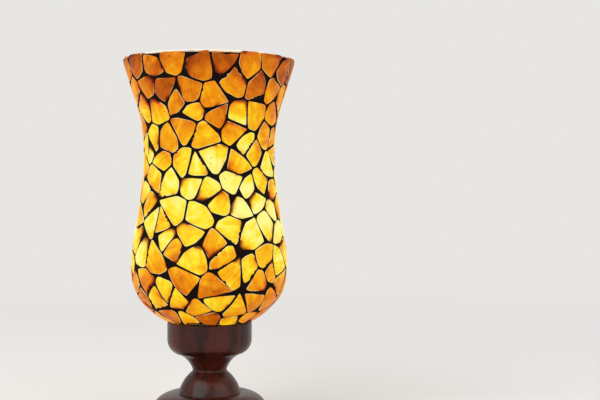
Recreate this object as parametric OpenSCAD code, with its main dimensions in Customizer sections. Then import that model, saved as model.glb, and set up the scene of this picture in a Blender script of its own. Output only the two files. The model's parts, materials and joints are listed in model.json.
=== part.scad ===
// Mosaic table lamp: a hurricane shade of clear glass, covered with shell chips in dark grout,
// stands in the cup of a turned wooden base, around an E27 lampholder and its bulb.
// Millimetres. Z is up, z = 0 is the surface that the rubber feet stand on, and the lamp's
// axis is the Z axis. The cord leaves towards +Y, at the back.

/* [Base] */
// Diameter of the plinth, the widest part of the base
plinth_d = 120; // [116:1:150]
// Height of the plinth
plinth_h = 12; // [11.5:0.5:16]
// Diameter of the dome above the plinth
dome_d = 99; // [92:1:108]
// Height of the dome
dome_h = 14.3; // [12:0.1:20]
// Diameter of the bell at its foot
bell_d = 54.6; // [48:0.2:60]
// Height of the bell
bell_h = 19.7; // [16:0.1:28]
// Diameter of the waist where the bell meets the cup
waist_neck_d = 30.2; // [26:0.2:36]
// Height of the cup, from its waist to its lip
cup_h = 43; // [41:0.5:52]
// Thickness of the cup's lip
lip_t = 3.2; // [2.6:0.1:6]
// Height of a rubber foot
feet_h = 3; // [2:0.5:6]

/* [Shade] */
// Height of the mosaic's rim above the cup's lip
rim_at = 228.4; // [205:1:260]
// Height of the waist above the cup's lip
waist_at = 141; // [128:1:150]
// Height of the belly above the cup's lip
belly_at = 51; // [44:1:58]
// Diameter of the mosaic at the rim
rim_d = 150.4; // [135:0.2:165]
// Diameter of the mosaic at the waist
waist_d = 114.2; // [104:0.2:124]
// Diameter of the mosaic at the belly
belly_d = 136.2; // [124:0.2:148]
// Outside diameter of the glass fitter neck, a 2 5/8 inch fitter
fitter_d = 66.7; // [65:0.1:70]
// Wall of the glass
glass_t = 2.6; // [2:0.1:3.2]

/* [Mosaic] */
// Least width of a chip with its joint
chip_w = 17; // [15:0.5:24]
// Most chips in one course
most_chips = 21; // [14:1:22]
// Width of the narrowest grout joint between chips
joint_w = 1; // [0.8:0.1:2.4]
// Thickness of a chip
chip_t = 1.6; // [1.2:0.1:2.4]
// Thickness of the grout bed under the chips
bed_t = 0.8; // [0.6:0.1:1.5]
// How far a chip's place wanders, as a share of its own size
wander = 0.25; // [0:0.01:0.3]
// How far a course sways up and down round the shade, as a share of its height
sway = 0.2; // [0:0.02:0.24]
// Seed of the chips' arrangement
chip_seed = 41; // [1:1:99]

/* [Electrical] */
// Height of the lampholder's foot above the floor of the cup
holder_rise = 26; // [16:1:40]
// Diameter of the bulb
bulb_d = 55; // [45:1:58]
// Length of the bulb, from its contact to its crown
bulb_l = 98; // [88:1:112]
// Diameter of the cord that the grommet takes
cord_d = 6.2; // [5:0.1:7]
// Diameter of a lead in the pipe
lead_d = 2.2; // [1.6:0.1:2.4]

/* [Hidden] */
$fn = 64;

// Clearances
slip = 0.1;        // a screw or insert in its hole
bore_gap = 0.3;    // the pipe in the turned wood
seat_gap = 0.55;   // the glass neck in the cup's recess
bond_gap = 0.05;   // a glued layer on the one below it
chip_gap = 0.9;    // a flat-backed chip on the curved bed
thread_gap = 0.35; // the bulb's thread in the screw shell

// M10 lamp pipe and its hardware
pipe_r = 5;
pipe_bore_r = 4;
wood_bore_r = pipe_r + bore_gap;
nut_af = 17;
nut_h = 4.5;
washer_r = 12;
washer_t = 1.5;
lock_washer_t = 1.2;

// Heights of the turned pieces
foot_z = feet_h;
cover_t = 2;
ledge_z = foot_z + cover_t;
plinth_top_z = foot_z + plinth_h;
quirk_h = 1;
dome_z = plinth_top_z + quirk_h;
stem_z = dome_z + dome_h - quirk_h;
cup_z = stem_z + bell_h;
lip_z = cup_z + cup_h;

// Turned profiles. A bow is how far the middle of an arc stands off its chord.
bell_ledge_w = 2.6;
bell_bow = 1.9;
stem_collar_h = 0.8;
cup_collar_h = 1.2;
cove_bow = 2.6;
shoulder_w = 6.6;
shoulder_h = 11.3;
shoulder_bow = 1.75;
cup_wall_h = 16;
lip_round = 1.3;
recess_round = 0.8;

// Inside the foot
plinth_edge_r = 2.4;
cavity_r = 34;
cavity_h = 12;
ceiling_z = ledge_z + cavity_h;
rebate_r = 43.2;
cover_r = rebate_r - bore_gap;
cover_screw_ring_r = 38.6;
screw_r = 1.5;
screw_head_r = 3;
screw_l = 10;
foot_pad_r = 6;
foot_pad_ring_r = (rebate_r + plinth_d / 2) / 2;

// Cord inlet in the back of the plinth
grommet_wall = 0.9;
grommet_r = cord_d / 2 + grommet_wall;
grommet_l = 12;
grommet_flange_t = 1.2;
grommet_flange_r = grommet_r + 1.1;
inlet_floor = 0.2;
inlet_z = ledge_z + inlet_floor + slip + grommet_r;

// Inside the cup: a recess with a ledge for the glass neck, and a well below the ledge
recess_h = 12;
ledge_w = 4.9;
well_h = 6;
fitter_r = fitter_d / 2;
recess_r = fitter_r + seat_gap;
cup_r = recess_r + lip_t;
seat_z = lip_z - recess_h;
cork_t = 1.5;
fitter_z = seat_z + cork_t;
fitter_bore_r = fitter_r - glass_t;
well_r = recess_r - ledge_w;
well_floor_z = seat_z - well_h;

// Lampholder, from its foot upwards. The bulb's contact meets the holder's at tip_z.
holder_z = well_floor_z + holder_rise;
tip_h = 28;
tip_z = holder_z + tip_h;
holder_r = 19.5;
holder_cap_h = 17;
holder_h = 52;
holder_wall = 1.9;
pipe_engagement = 7.8;
core_r = holder_r - holder_wall - slip * 2;
core_floor_t = 5;
spring_pocket_h = 2.5;
spring_pocket_r = 5.4;
contact_shaft_r = 1.9;
contact_head_r = 4.4;
contact_head_t = 1.5;
contact_travel = 3.9;
terminal_x = 9;
terminal_r = 2.4;
boss_r = 9.5;
boss_h = 5;
cap_shoulder_h = 12;
cap_rim_w = 3.7;
cap_roof_r = 7.4;
grub_h = 3.2;
grub_r = 1.2;
grub_l = 4.2;
flange_h = 8;
flange_w = 2.2;
flange_t = 2.6;
flange_edge = 0.6;
sleeve_lip_w = 4.3;
sleeve_lip_t = 1.2;
sleeve_edge = 1;

// E27 thread: pitch and mean radius of the bulb's cap, and half the depth of the thread
e27_pitch = 3.629;
e27_r = 12.67;
e27_depth = 0.5;
thread_sides = 24;
rings_per_turn = 6;
shell_r = 14.7;
shell_rise = 4;
shell_z = tip_z + shell_rise;
shell_h = 16;
shell_ledge_w = 1.1;
cap_rise = 6;
cap_z = tip_z + cap_rise;
cap_thread_h = 15;
cap_skirt_z = cap_z + cap_thread_h;
cap_skirt_h = 6;
cap_skirt_r = 13.3;
cap_top_z = cap_skirt_z + cap_skirt_h;
cap_wall = 0.6;
cap_step_h = 0.6;

// Bulb
bulb_r = bulb_d / 2;
bulb_neck_r = cap_skirt_r - cap_wall - slip * 2;
bulb_wall = 0.7;
bulb_contact_h = 1.2;
glass_z = cap_skirt_z + 1.2;
bulb_centre_z = tip_z + bulb_l - bulb_r;
pinch_z = (glass_z + bulb_centre_z) / 2;
filament_r = 9;

// Terminal block in the foot
block_size = [18, 14, 10];
block_y = 15;
block_z = ceiling_z - block_size[2];
way_x = 4.4;
way_z = block_z + 4.5;
insert_r = 2.4;
insert_bore_r = 1.5;
insert_l = 12;
block_screw_l = 16;

// Lamp pipe and washers under the foot and in the cup
base_washer_z = ceiling_z - washer_t;
base_lock_z = base_washer_z - lock_washer_t;
base_nut_z = base_lock_z - nut_h;
pipe_z = base_nut_z - 1;
pipe_top_z = holder_z + pipe_engagement;
cup_nut_z = well_floor_z + washer_t;
sleeve_z = cup_nut_z + nut_h;

// Points on the circular arc from p to q whose middle stands h to the right of the chord
function bow(p, q, h, n) =
    let (
        l = norm(q - p),
        d = (q - p) / l,
        side = [d[1], -d[0]],
        r = (l * l / 4 + h * h) / (2 * abs(h)),
        c = (p + q) / 2 + side * (h - sign(h) * r),
        a = atan2(p[1] - c[1], p[0] - c[0]),
        b = atan2(q[1] - c[1], q[0] - c[0]),
        turn = (b - a + 540) % 360 - 180
    )
    [for (i = [0:n]) c + r * [cos(a + turn * i / n), sin(a + turn * i / n)]];

// Points on a quarter ellipse about c, from angle a to angle b
function oval(c, rx, ry, a, b, n) =
    [for (i = [0:n]) let (t = a + (b - a) * i / n) c + [rx * cos(t), ry * sin(t)]];

// The shade's outside as knots: height, radius, and slope of radius by height. Between
// knots the radius is a cubic, so the curve and its slope run on without a break.
lip_gap = 0.4;
lip_overhang = 0.5;
mosaic_z = lip_z + lip_gap;
mosaic_r = cup_r + lip_overhang;
belly_z = lip_z + belly_at;
waist_z = lip_z + waist_at;
rim_z = lip_z + rim_at;
bowl_steep = (belly_d / 2 - mosaic_r) / (belly_z - mosaic_z);
waist_steep = (waist_d - belly_d) / 2 / (waist_z - belly_z);
flare_steep = (rim_d - waist_d) / 2 / (rim_z - waist_z);
function share(a, b, t) = a + (b - a) * t;
shade_knots = [
    [mosaic_z, mosaic_r, 2.9 * bowl_steep],
    [share(mosaic_z, belly_z, 0.34), share(mosaic_r, belly_d / 2, 0.7), 1.4 * bowl_steep],
    [belly_z, belly_d / 2, 0],
    [share(belly_z, waist_z, 0.52), share(belly_d, waist_d, 0.565) / 2, 1.1 * waist_steep],
    [waist_z, waist_d / 2, 0],
    [share(waist_z, rim_z, 0.54), share(waist_d, rim_d, 0.31) / 2, 1.57 * flare_steep],
    [rim_z, rim_d / 2, 1.33 * flare_steep]
];
steps_per_knot = 7;

// Radius and slope of a cubic between knots a and b at share t of the way
function knot_radius(a, b, t) =
    let (h = b[0] - a[0])
    a[1] * (2 * t * t * t - 3 * t * t + 1) + b[1] * (3 * t * t - 2 * t * t * t)
    + h * (a[2] * (t * t * t - 2 * t * t + t) + b[2] * (t * t * t - t * t));
function knot_slope(a, b, t) =
    let (h = b[0] - a[0])
    (a[1] - b[1]) * (6 * t * t - 6 * t) / h
    + a[2] * (3 * t * t - 4 * t + 1) + b[2] * (3 * t * t - 2 * t);

// Samples of the outside: radius, height, and the outward normal's two parts
curve = [
    for (k = [0:len(shade_knots) - 2], i = [(k == 0 ? 0 : 1):steps_per_knot])
        let (
            a = shade_knots[k],
            b = shade_knots[k + 1],
            t = i / steps_per_knot,
            slope = knot_slope(a, b, t),
            l = norm([1, slope])
        )
        [
            knot_radius(a, b, t),
            share(a[0], b[0], t),
            1 / l,
            -slope / l
        ]
];
last = len(curve) - 1;

// Length along the outside up to each sample, and tables that read a sample from it
function curve_point(i) = let (k = min(i, last)) [curve[k][0], curve[k][1]];
lengths = [
    for (i = 0, s = 0; i <= last; s = s + norm(curve_point(i + 1) - curve_point(i)), i = i + 1)
        s
];
curve_l = lengths[last];
tables = [for (k = [0:3]) [for (i = [0:last]) [lengths[i], curve[i][k]]]];
function radius_at(s) = lookup(s, tables[0]);

// The point at depth d below the outside, at length s along it
function skin(s, d) = [
    lookup(s, tables[0]) - d * lookup(s, tables[2]),
    lookup(s, tables[1]) - d * lookup(s, tables[3])
];
function shell_line(d) = [for (s = lengths) skin(s, d)];

bed_depth = chip_t + chip_gap;
glass_depth = bed_depth + bed_t + bond_gap;
rim_rise = 0.2;
rim_round = 0.8;

// Where each course's chips sit: a jittered grid on the unrolled outside, where every
// other chip lies higher, so that three-sided ones fit together. A seed is [angle in
// degrees, length along the outside].
courses = 12; // one node each
zigzag = 0.3; // of a course's height
course_pitch = curve_l / courses;
function course_count(c) =
    min(most_chips, round(2 * PI * radius_at((c + 0.5) * course_pitch) / chip_w));
function seeds(c) =
    let (
        n = course_count(c),
        r = rands(-wander, wander, 2 * n, chip_seed + c),
        sways = (c == 0 || c == courses - 1) ? 0 : sway
    )
    [
        for (j = [0:n - 1])
            let (
                a = (j + (c % 2) / 2 + r[2 * j]) * 360 / n,
                higher = ((j + c) % 2 - 0.5) * zigzag + sways * sin(3 * a + 130 * c)
            )
            [a, (c + 0.5 + higher + r[2 * j + 1]) * course_pitch]
    ];
all_seeds = [for (c = [0:courses - 1]) seeds(c)];

// A convex polygon cut along a line, of which the side where m.p <= c stays
function cut(poly, m, c) = [
    for (i = [0:len(poly) - 1])
        let (
            p = poly[i],
            q = poly[(i + 1) % len(poly)],
            dp = c - m * p,
            dq = c - m * q
        )
        each [if (dp >= 0) p, if (dp * dq < 0) p + (q - p) * dp / (dp - dq)]
];
function cut_all(poly, lines, i = 0) =
    i == len(lines) ? poly : cut_all(cut(poly, lines[i][0], lines[i][1]), lines, i + 1);

// Lines that keep a chip at seed p on its own side of the joint to each seed in near
neighbour_reach = 2.6;
function joint_lines(p, near) =
    let (rp = radius_at(p[1]))
    [
        for (q = near)
            let (
                turn = (q[0] - p[0] + 540) % 360 - 180,
                rm = (rp + radius_at(q[1])) / 2,
                d = [rm * turn * PI / 180, q[1] - p[1]],
                l = norm(d)
            )
            if (l > 0.01 && l < neighbour_reach * course_pitch + chip_w)
                [[rm * d[0] / (rp * l), d[1] / l], (l - joint_w) / 2]
    ];

// A polygon's area, and its centre of area
function crosses(poly) = [
    for (i = [0:len(poly) - 1])
        let (p = poly[i], q = poly[(i + 1) % len(poly)])
        p[0] * q[1] - p[1] * q[0]
];
function area(poly) = crosses(poly) * [for (p = poly) 0.5];
function centre(poly) =
    let (w = crosses(poly))
    [
        for (k = [0:1])
            [for (i = [0:len(poly) - 1]) poly[i][k] + poly[(i + 1) % len(poly)][k]] * w
    ] / (6 * area(poly));

// Where two lines meet, each given by its bearing's unit vector and its distance
function meet(u, r, v, s) =
    let (w = u[0] * v[1] - u[1] * v[0])
    [(r * v[1] - s * u[1]) / w, (s * u[0] - r * v[0]) / w];

// A chip's own shape about its middle m: a triangle or four-sided piece whose sides face
// the bearings a at the distances r, and bow outwards by the shares b of their length
function own_shape(m, a, r, b) =
    let (
        n = len(r),
        u = [for (t = a) [cos(t), sin(t)]],
        corners = [for (k = [0:n - 1]) m + meet(u[k], r[k], u[(k + 1) % n], r[(k + 1) % n])]
    )
    [
        for (k = [0:n - 1])
            let (
                p = corners[(k + n - 1) % n],
                q = corners[k],
                out = u[k] * b[k] * norm(q - p)
            )
            each b[k] > 0 ? [p, p + (q - p) / 3 + out, p + (q - p) * 2 / 3 + out] : [p]
    ];

// The chip's own shape cut to its cell, turned the way that wastes the least shell. A
// chip at the rim keeps its flat side up, and one at the lip keeps it down.
bearings = 9;
three_sided = 0.74;   // share of the chips
fill_three = 0.46;    // distance to a side, of the square root of the cell's area
fill_four = 0.52;
least_reach = 0.86;   // of that distance
reach_spread = 0.36;
corner_skew = 26;     // degrees between the least and the most skewed side
turn_spread = 15;     // degrees
side_bow = 0.085;     // most bow of a side, of its length
straight_sides = 0.45; // share of the sides that don't bow
function fitted(cell, lines, c, j) =
    let (
        v = rands(0, 1, 14, chip_seed * 131 + c * 97 + j),
        sides = v[4] < three_sided ? 3 : 4,
        size = sqrt(area(cell)) * (sides == 3 ? fill_three : fill_four),
        r = [for (k = [0:sides - 1]) size * (least_reach + reach_spread * v[k])],
        skew = [for (k = [0:sides - 1]) 360 * k / sides + corner_skew * (v[6 + k] - 0.5)],
        bows = [
            for (k = [0:sides - 1])
                k > 0 && v[10 + k] > straight_sides ? side_bow * v[10 + k] : 0
        ],
        m = centre(cell),
        turns = c == courses - 1
            ? [75, 90, 105]
            : c == 0 ? [-105, -90, -75] : [for (k = [0:bearings - 1]) 360 * k / bearings],
        tries = [
            for (t = turns)
                let (turn = t + turn_spread * (v[5] - 0.5))
                cut_all(own_shape(m, [for (s = skew) turn + s], r, bows), lines)
        ],
        areas = [for (t = tries) area(t)],
        best = max(areas)
    )
    [for (k = [0:len(tries) - 1]) if (areas[k] == best) tries[k]][0];

// A polygon without its short edges, and then with its sharp corners cut back
function no_short(poly, l) = [
    for (i = [0:len(poly) - 1])
        if (norm(poly[i] - poly[(i + len(poly) - 1) % len(poly)]) > l) poly[i]
];
function rounded(poly, c) =
    let (n = len(poly))
    [
        for (i = [0:n - 1])
            let (
                p = poly[i],
                a = poly[(i + n - 1) % n] - p,
                b = poly[(i + 1) % n] - p,
                ca = min(c, norm(a) * corner_share),
                cb = min(c, norm(b) * corner_share),
                straight = -a * b / norm(a) / norm(b) > cos(blunt_turn)
            )
            each straight ? [p] : [p + a / norm(a) * ca, p + b / norm(b) * cb]
    ];

// A polygon with a point in the middle of each edge longer than l, so that a long edge
// follows the curved shade
function split_long(poly, l) = [
    for (i = [0:len(poly) - 1])
        let (p = poly[i], q = poly[(i + 1) % len(poly)])
        each norm(q - p) > l ? [p, (p + q) / 2] : [p]
];

// The outline of chip j in course c, as offsets across and along the outside from its seed
edge_margin = 0.2;
min_edge = 1.6;
corner_cut = 1;
corner_share = 0.36; // most of a side that one corner takes
blunt_turn = 30;
long_edge = 8.5;
function chip_outline(c, j) =
    let (
        p = all_seeds[c][j],
        near = [
            for (k = [max(0, c - 2):min(courses - 1, c + 2)], q = all_seeds[k])
                if (k != c || norm(q - p) > 0.001) q
        ],
        big = 2 * chip_w,
        low = max(-big, edge_margin - p[1]),
        high = min(big, curve_l - edge_margin - p[1]),
        start = [[-big, low], [big, low], [big, high], [-big, high]],
        joints = joint_lines(p, near),
        lines = concat(joints, [[[0, 1], high], [[0, -1], -low]]),
        shape = fitted(cut_all(start, joints), lines, c, j)
    )
    split_long(rounded(no_short(shape, min_edge), corner_cut), long_edge);

// A point of a chip: angle and length from the seed, and depth below the outside
function on_shade(p, offset, d) =
    let (
        a = p[0] + offset[0] / radius_at(p[1]) * 180 / PI,
        q = skin(p[1] + offset[1], d)
    )
    [q[0] * cos(a), q[0] * sin(a), q[1]];

// One chip as points and triangles: a crowned face, an edge all round, and a back that is
// hollowed to lie over the curved bed
chip_crown = 0.35;
chip_hollow = 0.8;
function chip_points(p, outline) =
    let (middle = [for (k = [0:1]) [for (q = outline) q[k]] * [for (q = outline) 1] / len(outline)])
    concat(
        [for (q = outline) on_shade(p, q, 0)],
        [for (q = outline) on_shade(p, q, chip_t)],
        [on_shade(p, middle, -chip_crown), on_shade(p, middle, chip_t - chip_hollow)]
    );
function chip_faces(n, first) = [
    for (i = [0:n - 1])
        let (a = first + i, b = first + (i + 1) % n, top = first + 2 * n)
        each [[a, top, b], [a + n, b + n, top + 1], [a, b, b + n], [a, b + n, a + n]]
];

// All chips of a course as one list of separate closed solids
module chip_course(c) {
    own = all_seeds[c];
    outlines = [for (j = [0:len(own) - 1]) chip_outline(c, j)];
    sizes = [for (o = outlines) 2 * len(o) + 2];
    firsts = [for (j = 0, f = 0; j < len(own); f = f + sizes[j], j = j + 1) f];
    color("goldenrod")
        polyhedron(
            points = [for (j = [0:len(own) - 1]) each chip_points(own[j], outlines[j])],
            faces = [for (j = [0:len(own) - 1]) each chip_faces(len(outlines[j]), firsts[j])],
            convexity = 10
        );
}

module grout() {
    color([0.1, 0.07, 0.05])
        rotate_extrude()
            polygon(concat(shell_line(bed_depth), [
                for (i = [last:-1:0]) skin(lengths[i], bed_depth + bed_t)
            ]));
}

// The point where a line from p at the rim's slope reaches height z
function run_on(p, z) = [p[0] + (z - p[1]) * shade_knots[len(shade_knots) - 1][2], z];

// The glass follows the mosaic's inside, then turns down into the straight fitter neck
module glass_shade() {
    outer = shell_line(glass_depth);
    inner = shell_line(glass_depth + glass_t);
    neck_turn = 1.6;
    start = outer[0];
    inner_start = inner[0];
    fall = (start[0] - fitter_r) / shade_knots[0][2];
    inner_fall = (inner_start[0] - fitter_bore_r) / shade_knots[0][2];
    rim_out = run_on(outer[last], rim_z + rim_rise);
    rim_in = run_on(inner[last], rim_z + rim_rise);
    color([0.8, 0.9, 0.9, 0.4])
        rotate_extrude()
            polygon(concat(
                [[fitter_bore_r, fitter_z], [fitter_r, fitter_z]],
                bow(
                    [fitter_r, start[1] - fall - neck_turn],
                    [fitter_r + neck_turn / 2, start[1] - fall + neck_turn / 3],
                    -0.25,
                    3
                ),
                outer,
                bow(rim_out, rim_in, rim_round, 6),
                [for (i = [last:-1:0]) inner[i]],
                [
                    [fitter_bore_r + neck_turn / 2, inner_start[1] - inner_fall + neck_turn / 3],
                    [fitter_bore_r, inner_start[1] - inner_fall - neck_turn]
                ]
            ));
}

// Cork ring on the ledge of the cup, under the glass neck
module seat_ring() {
    color("peru")
        translate([0, 0, seat_z])
            difference() {
                cylinder(h = cork_t, r = recess_r - bore_gap);
                translate([0, 0, -1])
                    cylinder(h = cork_t + 2, r = well_r + bore_gap);
            }
}

module foot() {
    top_r = bell_d / 2 + bell_ledge_w;
    plinth_r = plinth_d / 2;
    e = plinth_edge_r;
    color([0.2, 0.09, 0.05])
        difference() {
            rotate_extrude()
                polygon(concat(
                    [[rebate_r, ledge_z], [rebate_r, foot_z]],
                    oval([plinth_r - e, foot_z + e], e, e, -90, 0, 5),
                    oval([plinth_r - e, plinth_top_z - e], e, e, 0, 90, 5),
                    [[dome_d / 2, plinth_top_z]],
                    oval([top_r, dome_z], dome_d / 2 - top_r, stem_z - dome_z, 0, 90, 14),
                    [
                        [wood_bore_r, stem_z],
                        [wood_bore_r, ceiling_z],
                        [cavity_r, ceiling_z],
                        [cavity_r, ledge_z]
                    ]
                ));
            // Cord hole through the back of the plinth
            translate([0, cavity_r - 3, inlet_z])
                rotate([-90, 0, 0])
                    cylinder(h = plinth_r, r = grommet_r + slip);
            cover_screw_places()
                translate([0, 0, foot_z])
                    cylinder(h = screw_l + 1, r = screw_r + slip);
            translate([0, block_y + block_size[1] / 2, ceiling_z - 1])
                cylinder(h = block_screw_l - block_size[2] + 2, r = screw_r + slip);
        }
}

module stem() {
    color([0.2, 0.09, 0.05])
        rotate_extrude()
            polygon(concat(
                [[wood_bore_r, stem_z]],
                bow(
                    [bell_d / 2, stem_z],
                    [waist_neck_d / 2, cup_z - stem_collar_h],
                    bell_bow, 12
                ),
                [[waist_neck_d / 2, cup_z], [wood_bore_r, cup_z]]
            ));
}

module cup() {
    shoulder_z = lip_z - cup_wall_h;
    cove_end = [cup_r - shoulder_w, shoulder_z - shoulder_h];
    color([0.2, 0.09, 0.05])
        rotate_extrude()
            polygon(concat(
                [[wood_bore_r, cup_z], [waist_neck_d / 2, cup_z]],
                bow([waist_neck_d / 2, cup_z + cup_collar_h], cove_end, -cove_bow, 10),
                bow(cove_end, [cup_r, shoulder_z], shoulder_bow, 8),
                oval([cup_r - lip_round, lip_z - lip_round], lip_round, lip_round, 0, 90, 5),
                oval(
                    [recess_r + recess_round, lip_z - recess_round],
                    recess_round, recess_round, 90, 180, 4
                ),
                [
                    [recess_r, seat_z],
                    [well_r, seat_z],
                    [well_r, well_floor_z],
                    [wood_bore_r, well_floor_z]
                ]
            ));
}

// A flat ring
module ring(z, h, outer_r, inner_r) {
    translate([0, 0, z])
        difference() {
            cylinder(h = h, r = outer_r);
            translate([0, 0, -1])
                cylinder(h = h + 2, r = inner_r);
        }
}

module hex_nut(z) {
    translate([0, 0, z])
        difference() {
            cylinder(h = nut_h, d = nut_af / cos(30), $fn = 6);
            translate([0, 0, -1])
                cylinder(h = nut_h + 2, r = pipe_r + slip);
        }
}

module lamp_pipe() {
    color("silver")
        ring(pipe_z, pipe_top_z - pipe_z, pipe_r, pipe_bore_r);
}

module base_washer() {
    color("silver")
        ring(base_washer_z, washer_t, washer_r, pipe_r + slip);
}

// Split spring washer, cut on one side
module base_lock_washer() {
    color("dimgray")
        difference() {
            ring(base_lock_z, lock_washer_t, 9, pipe_r + slip);
            translate([4, -0.6, base_lock_z - 1])
                cube([8, 1.2, lock_washer_t + 2]);
        }
}

module base_nut() {
    color("silver")
        hex_nut(base_nut_z);
}

module cup_washer() {
    color("darkgoldenrod")
        ring(well_floor_z, washer_t, washer_r, pipe_r + slip);
}

module cup_nut() {
    color("darkgoldenrod")
        hex_nut(cup_nut_z);
}

// Brass tube between the nut in the cup and the lampholder
module riser_sleeve() {
    color("darkgoldenrod")
        ring(sleeve_z, holder_z - sleeve_z, 7, pipe_r + slip * 2);
}

module cover_screw_places() {
    for (a = [30, 150, 270])
        rotate([0, 0, a])
            translate([cover_screw_ring_r, 0, 0])
                children();
}

// Countersunk screw pointing up, its head flush with z = 0
module wood_screw(l) {
    cylinder(h = screw_head_r - screw_r, r1 = screw_head_r, r2 = screw_r);
    cylinder(h = l, r = screw_r);
}

module bottom_cover() {
    color([0.35, 0.25, 0.16])
        difference() {
            translate([0, 0, foot_z])
                cylinder(h = cover_t, r = cover_r);
            cover_screw_places()
                translate([0, 0, foot_z - slip]) {
                    cylinder(
                        h = screw_head_r - screw_r + slip,
                        r1 = screw_head_r + slip * 2,
                        r2 = screw_r + slip
                    );
                    cylinder(h = cover_t + 1, r = screw_r + slip);
                }
        }
}

module cover_screws() {
    color("silver")
        cover_screw_places()
            translate([0, 0, foot_z])
                wood_screw(screw_l);
}

module rubber_feet() {
    color([0.08, 0.08, 0.08])
        for (a = [45:90:315])
            rotate([0, 0, a])
                translate([foot_pad_ring_r, 0, 0])
                    cylinder(h = feet_h, r1 = foot_pad_r - 0.8, r2 = foot_pad_r);
}

module cord_grommet() {
    color([0.08, 0.08, 0.08])
        translate([0, plinth_d / 2 + grommet_flange_t + bond_gap, inlet_z])
            rotate([90, 0, 0])
                difference() {
                    union() {
                        cylinder(h = grommet_l, r = grommet_r);
                        cylinder(h = grommet_flange_t, r = grommet_flange_r);
                    }
                    translate([0, 0, -1])
                        cylinder(h = grommet_l + 2, d = cord_d);
                }
}

// The two ways of the terminal block
module ways() {
    for (x = [-way_x, way_x])
        translate([x, block_y, way_z])
            children();
}

// The two clamp screws of each way
module clamp_places() {
    ways()
        for (y = [block_size[1] * 0.28, block_size[1] * 0.72])
            translate([0, y, block_z - way_z])
                children();
}

module terminal_block() {
    color("ivory")
        difference() {
            translate([-block_size[0] / 2, block_y, block_z])
                cube(block_size);
            ways()
                translate([0, -1, 0])
                    rotate([-90, 0, 0])
                        cylinder(h = block_size[1] + 2, r = insert_r + slip);
            clamp_places()
                translate([0, 0, -1])
                    cylinder(h = way_z - block_z, r = screw_r);
            translate([0, block_y + block_size[1] / 2, block_z - 1])
                cylinder(h = block_size[2] + 2, r = screw_r + slip);
            translate([0, block_y + block_size[1] / 2, block_z - 1])
                cylinder(h = 1 + screw_head_r - screw_r, r = 2.4);
        }
}

module terminal_inserts() {
    color("darkgoldenrod")
        ways()
            translate([0, (block_size[1] - insert_l) / 2, 0])
                rotate([-90, 0, 0])
                    difference() {
                        cylinder(h = insert_l, r = insert_r);
                        translate([0, 0, -1])
                            cylinder(h = insert_l + 2, r = insert_bore_r);
                    }
}

module terminal_screws() {
    color("silver")
        clamp_places()
            cylinder(h = way_z - block_z - insert_r - slip, r = screw_r - slip * 2);
}

module block_screw() {
    color("silver")
        translate([0, block_y + block_size[1] / 2, block_z]) {
            cylinder(h = screw_head_r - screw_r, r = 2.2);
            cylinder(h = block_screw_l, r = screw_r);
        }
}

// A path with each corner rounded off over length c, in n steps
function rounded_path(pts, c, n) = [
    for (i = [0:len(pts) - 1])
        each (i == 0 || i == len(pts) - 1)
            ? [pts[i]]
            : let (
                a = pts[i - 1] - pts[i],
                b = pts[i + 1] - pts[i],
                p = pts[i] + a / norm(a) * min(c, norm(a) / 2.1),
                q = pts[i] + b / norm(b) * min(c, norm(b) / 2.1)
            )
            [for (k = [0:n]) let (t = k / n)
                (1 - t) * (1 - t) * p + 2 * t * (1 - t) * pts[i] + t * t * q]
];

function unit(v) = v / norm(v);
function tangents(pts) = [
    for (i = [0:len(pts) - 1])
        unit(pts[min(i + 1, len(pts) - 1)] - pts[max(i - 1, 0)])
];
function carried(ts, i, v) =
    i == len(ts) ? [] : let (u = unit(v - (v * ts[i]) * ts[i])) concat([u], carried(ts, i + 1, u));

// A round tube along a path, as one closed solid
module sweep(pts, r, sides, first_normal) {
    ts = tangents(pts);
    us = carried(ts, 0, first_normal);
    n = len(pts);
    polyhedron(
        points = [
            for (i = [0:n - 1], k = [0:sides - 1])
                let (a = 360 * k / sides)
                pts[i] + r * (cos(a) * us[i] + sin(a) * cross(ts[i], us[i]))
        ],
        faces = concat(
            [for (k = [1:sides - 2]) [0, k, k + 1]],
            [for (k = [1:sides - 2]) [(n - 1) * sides, (n - 1) * sides + k + 1, (n - 1) * sides + k]],
            [
                for (i = [0:n - 2], k = [0:sides - 1])
                    let (
                        a = i * sides + k,
                        b = i * sides + (k + 1) % sides
                    )
                    each [[a, a + sides, b], [b, a + sides, b + sides]]
            ]
        ),
        convexity = 10
    );
}

// A lead from its holder terminal down the pipe to its way in the terminal block
module lead(side) {
    in_pipe = side * 1.7;
    bend_z = holder_z + pipe_engagement + 2.5;
    below_z = (ledge_z + pipe_z) / 2 + 0.1;
    post = side * terminal_x;
    way = side * way_x;
    route = [
        [post, 0, holder_z + holder_cap_h - 1],
        [post, 0, bend_z],
        [in_pipe, 0, bend_z],
        [in_pipe, 0, below_z],
        [in_pipe, 7.5, below_z],
        [way, block_y - 2.2, way_z],
        [way, block_y + 3, way_z]
    ];
    sweep(rounded_path(route, lead_d, 4), lead_d / 2, 8, [0, 1, 0]);
}

module lead_live() {
    color("saddlebrown")
        lead(1);
}

module lead_neutral() {
    color("royalblue")
        lead(-1);
}

module holder_cap() {
    z = holder_z;
    top_z = z + holder_cap_h;
    color([0.1, 0.09, 0.08])
        difference() {
            rotate_extrude()
                polygon(concat(
                    [[pipe_r + slip, z], [boss_r, z]],
                    bow([boss_r, z + boss_h], [holder_r, z + cap_shoulder_h], 1.6, 6),
                    [[holder_r, top_z], [holder_r - cap_rim_w, top_z]],
                    bow(
                        [holder_r - cap_rim_w, z + cap_shoulder_h],
                        [cap_roof_r, z + pipe_engagement],
                        -1.2, 6
                    ),
                    [[pipe_r + slip, z + pipe_engagement]]
                ));
            translate([0, 0, z + grub_h])
                rotate([90, 0, 0])
                    cylinder(h = boss_r + 2, r = grub_r + slip);
        }
}

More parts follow.
